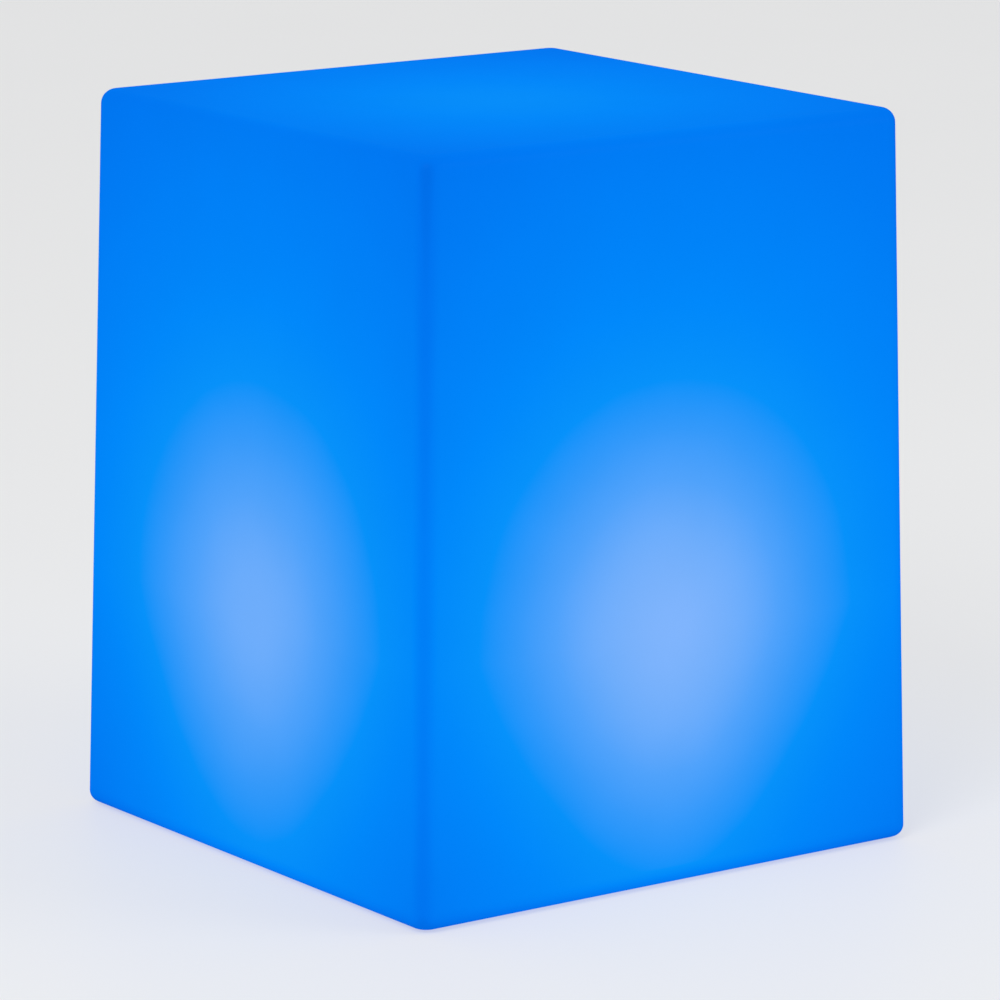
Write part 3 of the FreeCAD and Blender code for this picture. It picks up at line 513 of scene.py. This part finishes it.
def make_stopper():
    """The soft lid of the inlet with its plug, ribbed pull tab and tether."""
    low, lid_top = stopper_low.z, stopper_low.z + stopper_thickness
    profile = [(radius, low + depth) for radius, depth in lid_groove]
    profile += round_foot(stopper_radius, stopper_edge, low)
    profile += [(stopper_radius, lid_top), (plug_radius, lid_top),
                (plug_radius, stopper_high.z - plug_edge),
                (plug_radius - plug_edge, stopper_high.z)]
    stopper = turned("stopper", profile, jack_x)
    tab_x = stopper_low.x + tab_half
    tab = bar(Vector((tab_x, -tab_half, tether_under)), Vector((jack_x, tab_half, tether_top)))
    tab_end = drum(tab_half, tether_under, tether_top, tab_x)
    tether = bar(Vector((jack_x, -tether_half, tether_under)),
                 Vector((hinge_x, tether_half, tether_top)))
    roll_half, roll_z = tether_half - snug, tether_under + hinge_roll
    angles = [2 * math.pi * i / hinge_steps for i in range(hinge_steps)]
    roll = outward(from_rings("roll", [
        [Vector((hinge_x + hinge_roll * math.cos(angle), y, roll_z + hinge_roll * math.sin(angle)))
         for angle in angles] for y in (-roll_half, roll_half)]))
    for tool in (tab, tab_end, tether, roll):
        carve(stopper, [tool], "UNION")
    ribs = [bar(Vector((stopper_low.x + along, -tab_rib_half, tether_under - gap)),
                Vector((stopper_low.x + along + tab_rib_width, tab_rib_half,
                        tether_under + tab_rib_root))) for along in tab_ribs]
    return outward(carve(stopper, ribs, "UNION"))


def make_anchor():
    """The fixed end of the tether, with the bulb that holds it in the cover."""
    bulb_low = anchor_high.z - anchor_bulb_height
    profile = [(tether_half, tether_under), (tether_half, tether_top), (anchor_stem, tether_top),
               (anchor_stem, bulb_low), (anchor_bulb, bulb_low),
               (anchor_bulb, anchor_high.z - anchor_slope),
               (anchor_bulb - anchor_slope, anchor_high.z)]
    strap = bar(Vector((anchor_low.x, -tether_half, tether_under)),
                Vector((anchor_x, tether_half, tether_top)))
    return outward(carve(turned("tether_anchor", profile, anchor_x), [strap], "UNION"))


def make_inlet():
    """The charging inlet: a flange, a barrel through the cover, two tags and a bevelled bore."""
    low, body_top = jack_low.z, jack_high.z - inlet_tag.z
    step, barrel = low + inlet_flange, barrel_radius - snug
    profile = round_foot(inlet_flange_radius, inlet_edge, low)
    profile += [(inlet_flange_radius, step), (barrel, step), (barrel, body_top)]
    inlet = turned("inlet", profile, jack_x)
    half = Vector((inlet_tag.x / 2, inlet_tag.y / 2, 0))
    carve(inlet, [bar(Vector((jack_x + x, y, body_top - mm)) - half,
                      Vector((jack_x + x, y, jack_high.z)) + half)
                  for x, y in inlet_tag_places], "UNION")
    mouth = [(inlet_bore + wider, low + up) for wider, up in inlet_mouth]
    mouth.append((inlet_bore, low + inlet_bore_depth))
    return outward(carve(inlet, [turned("mouth", mouth, jack_x)]))


def make_inlet_pin():
    radius = (pin_high.x - pin_low.x) / 2
    profile = round_foot(radius, inlet_pin_tip, pin_low.z) + [(radius, pin_high.z)]
    return turned("inlet_pin", profile, jack_x, 0, pin_steps)


def make_vent():
    """A snap-in vent: a round cap with slots in its edge, over a stem with a bead."""
    low, cap, bead_low = vent_low.z, vent_high.x, cover_top + vent_seat
    profile = [(radius, low + depth) for radius, depth in vent_dish]
    profile += round_foot(cap, vent_edge, low)
    profile += [(cap, cover_under), (vent_stem, cover_under), (vent_stem, bead_low),
                (vent_bead, bead_low), (vent_bead, vent_high.z - vent_bead_edge),
                (vent_stem, vent_high.z)]
    slots = [bar(Vector((cap - vent_slot_depth, -vent_slot_half, low - mm)),
                 Vector((cap + mm, vent_slot_half, low + vent_slot_height)), 360 * i / vent_slots)
             for i in range(vent_slots)]
    for slot in slots:
        slot.data.transform(Matrix.Translation((0, vent_y, 0)))
    return carve(turned("vent", profile, 0, vent_y), slots)


def make_light_pipe():
    """The charge indicator's light pipe, with the collar that stops it inside the cover."""
    collar_top = cover_top + pipe_collar_height
    profile = round_foot(pipe_radius, pipe_edge, pipe_low.z)
    profile += [(pipe_radius, cover_top), (pipe_collar, cover_top), (pipe_collar, collar_top),
                (pipe_radius, collar_top), (pipe_radius, pipe_high.z)]
    return turned("light_pipe", profile, 0, pipe_y, pin_steps)


# ---- Shader maths ----
class Value:
    """A socket of a finish, so that its maths reads as plain arithmetic."""

    def __init__(self, finish, socket):
        self.finish, self.socket = finish, socket

    @property
    def has_parts(self):
        return self.socket.type in ("VECTOR", "RGBA")

    def maths(self, operation, *others):
        """One step of maths. Beside a vector, a number counts for all three parts."""
        values, kind = (self,) + others, "ShaderNodeMath"
        if any(isinstance(value, Value) and value.has_parts for value in values):
            kind = "ShaderNodeVectorMath"
            values = [(value,) * 3 if isinstance(value, (int, float)) else value
                      for value in values]
        return self.finish.add(kind, {"operation": operation}, enumerate(values))

    def __add__(self, other):
        return self.maths("ADD", other)

    def __sub__(self, other):
        return self.maths("SUBTRACT", other)

    def __rsub__(self, other):
        return (self * -1) + other

    def __mul__(self, other):
        return self.maths("MULTIPLY", other)

    def __truediv__(self, other):
        return self.maths("DIVIDE", other)

    def __pow__(self, other):
        return self.maths("POWER", other)

    __radd__ = __add__

    def dot(self, other):
        return self.finish.add("ShaderNodeVectorMath", {"operation": "DOT_PRODUCT"},
                               enumerate((self, other)), "Value")

    def length(self):
        return self.finish.add("ShaderNodeVectorMath", {"operation": "LENGTH"}, {0: self}, "Value")

    def part(self, axis):
        return self.finish.add("ShaderNodeSeparateXYZ", {}, {0: self}, axis)

    def clamped(self):
        return self.finish.add("ShaderNodeClamp", {}, {0: self})

    def between(self, low, high):
        """0 below low, 1 above high and smooth between them."""
        return self.finish.add("ShaderNodeMapRange", {"interpolation_type": "SMOOTHSTEP"},
                               {0: self, 1: low, 2: high})

    def ramp(self, stops):
        return self.finish.add("ShaderNodeValToRGB", {"stops": stops}, {0: self})


def set_stops(ramp, stops):
    while len(ramp.elements) < len(stops):
        ramp.elements.new(1.0)
    for element, (stop, colour) in zip(ramp.elements, stops):
        element.position, element.color = stop, colour


class Finish:
    """A material and the nodes behind it."""

    def __init__(self, name):
        self.material = bpy.data.materials.new(name)
        self.material.use_nodes = True
        self.tree = self.material.node_tree
        self.tree.nodes.clear()

    def add(self, kind, settings=(), inputs=(), output=0):
        node = self.tree.nodes.new(kind)
        for name, value in dict(settings).items():
            if name == "stops":
                set_stops(node.color_ramp, value)
            else:
                setattr(node, name, value)
        for name, value in dict(inputs).items():
            if isinstance(value, Value):
                self.tree.links.new(value.socket, node.inputs[name])
            else:
                node.inputs[name].default_value = value
        return Value(self, node.outputs[output])

    def position(self):
        return self.add("ShaderNodeTexCoord", {}, {}, "Object")

    def normal(self):
        return self.add("ShaderNodeNewGeometry", {}, {}, "Normal")

    def join(self, *parts):
        """A vector from three values."""
        return self.add("ShaderNodeCombineXYZ", {}, enumerate(parts))

    def noise(self, size, detail=2.0, roughness=0.5, stretch=(1, 1, 1)):
        """Soft noise from 0 to 1 with spots of about the given size."""
        place = self.position() * tuple(share / size for share in stretch)
        inputs = {"Vector": place, "Scale": 1.0, "Detail": detail, "Roughness": roughness}
        return self.add("ShaderNodeTexNoise", {}, inputs, "Fac")

    def cells(self, size):
        """How far a point is from the middle of its cell, for cells of about the given size."""
        inputs = {"Vector": self.position() / size, "Scale": 1.0}
        return self.add("ShaderNodeTexVoronoi", {}, inputs, "Distance")

    def blend(self, share, first, second):
        return self.add("ShaderNodeMix", {"data_type": "RGBA"}, {0: share, 6: first, 7: second}, 2)

    def bump(self, height, distance):
        inputs = {"Height": height, "Distance": distance, "Strength": 1.0}
        return self.add("ShaderNodeBump", {}, inputs)

    def surface(self, **inputs):
        """Finish with the one shader that every material here uses."""
        named = {name.replace("_", " "): value for name, value in inputs.items()}
        return self.ends_in(self.add("ShaderNodeBsdfPrincipled", {}, named))

    def ends_in(self, shader):
        output = self.tree.nodes.new("ShaderNodeOutputMaterial")
        self.tree.links.new(shader.socket, output.inputs["Surface"])
        return self.material


def screen(red, green, blue):
    """A colour as it is seen on a screen, from 0 to 255, in the renderer's own scale."""
    parts = [part / 255 for part in (red, green, blue)]
    return tuple(part / 12.92 if part <= 0.04045 else ((part + 0.055) / 1.055) ** 2.4
                 for part in parts) + (1.0,)


# ---- Finishes ----
plastic = (0, 40, 92)           # painted glow: a share of the lamp's blue light, put into the body's colour as it looks in the studio's light
# the same painted glow, a little darker, for random mottling
painted_glow_dark = (0, 36, 84)
glow_colours = [
    (0.0, (0, 100, 222)),
    (0.057, (0, 118, 242)),
    (0.143, (0, 128, 248)),
    (0.286, (0, 137, 252)),
    (0.438, (6, 146, 252)),
    (0.571, (52, 154, 252)),
    (0.714, (80, 163, 253)),
    (0.857, (108, 173, 253)),
    (0.952, (121, 178, 253)),
    (1.0, (128, 181, 254)),
]


def glow_only(colour):
    """What the glow adds to the body's colour, which is painted glow already, to make the one that is
    seen.
    """
    pairs = zip(screen(*colour)[:3], screen(*plastic))
    return tuple(max(seen - own, 0.0) for seen, own in pairs) + (1.0,)


def glowing_body():
    """Translucent plastic lit from inside, brightest where it is near the lamp and faces it. Its base
    colour is painted glow too.
    """
    finish = Finish("glowing_body")
    place, normal = finish.position(), finish.normal()
    away = place - tuple(glow_centre)
    facing = normal * normal
    along_x, along_y, along_z = (facing.part(axis) for axis in "XYZ")
    below = (away.part("Z") * -1).maths("MAXIMUM", 0.0)
    width = below * glow_narrowing + glow_width
    away = away * finish.join(1 + along_y * (width - 1), 1 + along_x * (width - 1), glow_height)
    light = facing.dot(away.maths("ABSOLUTE")) / away.length() ** (glow_fall + 1)
    light = light * glow_reach ** glow_fall
    # each share is 1 where its edge shades most and 0 on the flats
    corner_share, rim_share = along_x * along_y * 4, along_z * (1 - along_z) * 4
    foot_share = 1 - place.part("Z").between(rim_low, foot_fade)
    for share, shade in ((corner_share, corner_shade), (rim_share, rim_shade),
                         (foot_share, foot_shade)):
        light = light * (1 - share * shade)
    patches = finish.noise(glow_patch)
    light = light * (1 - glow_unevenness / 2 + patches * glow_unevenness)
    glow = light.clamped().ramp([(stop, glow_only(colour)) for stop, colour in glow_colours])
    grain = finish.noise(0.9 * mm, detail=3.0, roughness=0.6)
    waves = finish.noise(26 * mm, detail=1.0)
    flecks = finish.noise(2.2 * mm, detail=4.0, roughness=0.7)
    mottle = (flecks * 0.5 + patches * 0.5).between(0.3, 0.7)
    # the base colour is painted glow: a deep blue share of the lamp's light, mottled at random
    painted_glow_tint = finish.blend(mottle, screen(*painted_glow_dark), screen(*plastic))
    return finish.surface(
        Base_Color=painted_glow_tint, Emission_Color=glow, Emission_Strength=1.0,
        Roughness=0.45 + flecks * 0.12, Specular_IOR_Level=0.0,
        Coat_Weight=0.003 + flecks * 0.008, Coat_Roughness=0.3,
        Normal=finish.bump(grain * 0.25 + waves * 2.0, 0.15 * mm))


def moulded(name, colour, deep, roughness=0.45):
    """Moulded plastic with a fine texture and slow changes of tone."""
    finish = Finish(name)
    slow, fine = finish.noise(18 * mm), finish.noise(0.6 * mm, detail=3.0)
    shade = finish.blend(slow.between(0.25, 0.75), screen(*deep), screen(*colour))
    return finish.surface(Base_Color=shade, Roughness=roughness + fine * 0.12,
                          Specular_IOR_Level=0.4, Normal=finish.bump(fine, 0.06 * mm))


def rubber(name, colour, worn):
    """Matt rubber, paler where it is dusty."""
    finish = Finish(name)
    slow, fine = finish.noise(9 * mm), finish.noise(0.35 * mm, detail=4.0, roughness=0.7)
    dust = (slow * 0.7 + fine * 0.3).between(0.45, 0.8)
    shade = finish.blend(dust, screen(*colour), screen(*worn))
    return finish.surface(Base_Color=shade, Roughness=0.72 + fine * 0.15,
                          Specular_IOR_Level=0.3, Normal=finish.bump(fine, 0.08 * mm))


def metal(name, colour, dull, roughness, stretch=(1, 1, 12)):
    """Bare metal with fine drawn lines and a few dull patches."""
    finish = Finish(name)
    lines, patches = finish.noise(2.5 * mm, detail=3.0, stretch=stretch), finish.noise(6 * mm)
    wear = (lines * 0.6 + patches * 0.4).between(0.35, 0.7)
    shade = finish.blend(wear, screen(*colour), screen(*dull))
    return finish.surface(Base_Color=shade, Metallic=1.0, Roughness=roughness + lines * 0.15,
                          Normal=finish.bump(lines, 0.02 * mm))


def circuit_board():
    """Green solder mask with copper traces under it and pale pads."""
    finish = Finish("circuit_board")
    weave = finish.noise(0.8 * mm)
    inputs = {"Vector": finish.position(), "Scale": 90.0, "Mortar Size": 0.03,
              "Color1": (0, 0, 0, 1), "Color2": (0.3, 0.3, 0.3, 1), "Mortar": (1, 1, 1, 1)}
    tracks = finish.add("ShaderNodeTexBrick", {"offset": 0.5}, inputs, "Fac")
    mask = finish.blend(tracks, screen(16, 84, 48), screen(30, 112, 62))
    pads = 1 - finish.cells(3.1 * mm).between(0.16, 0.2)
    pads = pads * finish.noise(12 * mm).between(0.5, 0.55)
    shade = finish.blend(pads, mask, screen(206, 198, 176))
    return finish.surface(Base_Color=shade, Roughness=0.35 + weave * 0.15,
                          Normal=finish.bump(tracks * 0.5 + weave * 0.3, 0.05 * mm))


def frosted_plastic():
    """Milky plastic with a matt grain."""
    finish = Finish("frosted_plastic")
    fine = finish.noise(0.5 * mm, detail=4.0, roughness=0.7)
    shade = finish.blend(fine.between(0.3, 0.7), screen(226, 232, 238), screen(240, 243, 246))
    return finish.surface(Base_Color=shade, Roughness=0.5 + fine * 0.2,
                          Normal=finish.bump(fine, 0.05 * mm))


def light_source():
    """A packaged light source: pale case, with a lit round window."""
    finish = Finish("light_source")
    speckle = finish.noise(0.7 * mm)
    shade = finish.blend(speckle, screen(196, 214, 240), screen(230, 238, 250))
    lit = finish.blend(speckle.between(0.3, 0.7), screen(70, 140, 250), screen(120, 180, 255))
    return finish.surface(Base_Color=shade, Roughness=0.25 + speckle * 0.1,
                          Emission_Color=lit, Emission_Strength=0.8)


def cell_wrap():
    """Shrink film with a slight lengthwise crease."""
    finish = Finish("cell_wrap")
    creases = finish.noise(3 * mm, detail=3.0, stretch=(0.15, 1, 1))
    shade = finish.blend(creases.between(0.3, 0.7), screen(28, 104, 96), screen(40, 128, 116))
    return finish.surface(Base_Color=shade, Roughness=0.28 + creases * 0.15,
                          Normal=finish.bump(creases, 0.08 * mm))


def strap_fabric():
    """Woven band."""
    finish = Finish("strap_fabric")
    threads = finish.add("ShaderNodeTexWave", {"bands_direction": "DIAGONAL"},
                         {"Vector": finish.position(), "Scale": 500.0, "Distortion": 0.4}, "Fac")
    shade = finish.blend(threads, screen(24, 24, 26), screen(58, 58, 60))
    return finish.surface(Base_Color=shade, Roughness=0.8 + threads * 0.1, Sheen_Weight=0.3,
                          Normal=finish.bump(threads, 0.15 * mm))


def make_finishes():
    """One finish for each material slot of the record."""
    return {
        "glowing_body": glowing_body(),
        "brass": metal("brass", (206, 170, 98), (176, 138, 74), 0.32),
        "black_rubber": rubber("black_rubber", (30, 30, 32), (64, 64, 66)),
        "stopper_rubber": rubber("stopper_rubber", (40, 40, 43), (76, 76, 78)),
        "white_plastic": moulded("white_plastic", (232, 234, 235), (220, 223, 225)),
        "button_plastic": moulded("button_plastic", (62, 66, 70), (50, 54, 58), 0.35),
        "steel": metal("steel", (202, 204, 206), (168, 170, 172), 0.26),
        "circuit_board": circuit_board(),
        "component_black": moulded("component_black", (46, 46, 48), (34, 34, 36), 0.4),
        "switch_white": moulded("switch_white", (226, 226, 222), (214, 214, 210)),
        "nickel": metal("nickel", (214, 210, 198), (182, 178, 168), 0.22),
        "lead_sheath": rubber("lead_sheath", (44, 44, 46), (70, 70, 72)),
        "light_pipe": moulded("light_pipe", (224, 232, 236), (206, 216, 222), 0.12),
        "vent_plastic": moulded("vent_plastic", (74, 77, 80), (60, 62, 65)),
        "cell_wrap": cell_wrap(),
        "strap_fabric": strap_fabric(),
        "column_metal": metal("column_metal", (206, 208, 212), (180, 182, 186), 0.34, (1, 1, 0.2)),
        "strip_board": moulded("strip_board", (238, 238, 234), (226, 226, 220), 0.3),
        "light_source": light_source(),
        "frosted_plastic": frosted_plastic(),
    }


finishes = make_finishes()


def dress(piece, slot, body, *replaced):
    """Give a piece its finish, the body it moves with and the solids it stands for."""
    piece.data.shade_smooth()
    piece.data.set_sharp_from_angle(angle=math.radians(crisp_angle))
    piece.data.materials.clear()
    piece.data.materials.append(finishes[slot])
    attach(piece, body)
    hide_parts(*replaced)


for subpart in frame["record"]["subparts"]:
    solid = nodes[subpart["node"]]
    for index in range(len(solid.data.materials)):
        solid.material_slots[index].material = finishes[subpart["material_slot"]]

dress(make_body(), "glowing_body", "light", "shell")
dress(make_pads(), "black_rubber", "light", "foot_pads")
dress(make_cover(), "white_plastic", "light", "module_cover")
dress(make_cover_screws(), "steel", "light", "module_screws")
dress(make_cup_screws(), "steel", "light", "housing_screws")
dress(make_inlet(), "component_black", "light", "charge_jack")
dress(make_inlet_pin(), "nickel", "light", "jack_pin")
dress(make_anchor(), "stopper_rubber", "light", "port_cover_anchor")
dress(make_button(), "button_plastic", "power_button", "button_cap")
dress(make_stopper(), "stopper_rubber", "port_cover", "port_cover")
dress(make_vent(), "vent_plastic", "light", "vent_plug")
dress(make_light_pipe(), "light_pipe", "light", "status_light_pipe")


# ---- Studio ----
camera_place = Vector((-2.1515, -2.9626, 1.0029))
camera_heading = math.radians(53.94)    # from +X towards +Y
camera_drop = math.radians(12.065)
camera_roll = math.radians(0.16)
lens_pixels = 5627
photo_pixels = 1000
sensor = 36.0
world_strength = 0.62
floor_half = 30.0
floor_white = 0.95
floor_share = 0.55              # how much of the floor that the camera sees is plain white


def make_camera():
    data = bpy.data.cameras.new("camera")
    data.sensor_width = sensor
    data.lens = sensor * lens_pixels / photo_pixels
    data.clip_start, data.clip_end = 0.1, 100
    camera = bpy.data.objects.new("camera", data)
    bpy.context.scene.collection.objects.link(camera)
    level = math.cos(camera_drop)
    sight = Vector((level * math.cos(camera_heading), level * math.sin(camera_heading),
                    -math.sin(camera_drop)))
    turn = sight.to_track_quat("-Z", "Y").to_matrix().to_4x4()
    roll = Matrix.Rotation(camera_roll, 4, "Z")
    camera.matrix_world = Matrix.Translation(camera_place) @ turn @ roll
    bpy.context.scene.camera = camera


def floor_finish():
    """Pale smooth floor, mixed with plain white for the camera and for what reflects it."""
    finish = Finish("floor")
    slow = finish.noise(0.5)
    shade = finish.blend(slow, screen(226, 228, 231), screen(232, 234, 236))
    lit = finish.add("ShaderNodeBsdfPrincipled", {},
                     {"Base Color": shade, "Roughness": 0.5, "Specular IOR Level": 0.3})
    white = finish.add("ShaderNodeEmission", {},
                       {"Color": (1, 1, 1, 1), "Strength": floor_white})
    seen = [finish.add("ShaderNodeLightPath", {}, {}, ray)
            for ray in ("Is Camera Ray", "Is Glossy Ray", "Is Transmission Ray")]
    share = seen[0].maths("MAXIMUM", seen[1]).maths("MAXIMUM", seen[2]) * floor_share
    return finish.ends_in(finish.add("ShaderNodeMixShader", {}, {0: share, 1: lit, 2: white}))


def make_floor():
    corners = [(-1, -1), (1, -1), (1, 1), (-1, 1)]
    floor = add_piece("floor", [(x * floor_half, y * floor_half, 0) for x, y in corners],
                      [(0, 1, 2, 3)])
    floor.data.materials.append(floor_finish())


def make_lamp(name, place, size, power):
    data = bpy.data.lights.new(name, "AREA")
    data.shape, data.size, data.energy = "DISK", size, power
    lamp = bpy.data.objects.new(name, data)
    bpy.context.scene.collection.objects.link(lamp)
    target = Vector((0, 0, top / 2))
    lamp.location = place
    lamp.rotation_mode = "QUATERNION"
    lamp.rotation_quaternion = (target - Vector(place)).to_track_quat("-Z", "Y")


def make_world():
    world = bpy.data.worlds.new("studio")
    bpy.context.scene.world = world
    world.use_nodes = True
    background = world.node_tree.nodes["Background"]
    background.inputs["Color"].default_value = (1, 1, 1, 1)
    background.inputs["Strength"].default_value = world_strength


make_camera()
make_floor()
make_world()
make_lamp("key", place=(-2.6, -1.6, 2.8), size=1.8, power=55)
make_lamp("fill", place=(2.2, -2.6, 1.8), size=2.2, power=28)
bpy.context.scene.view_settings.view_transform = "Standard"
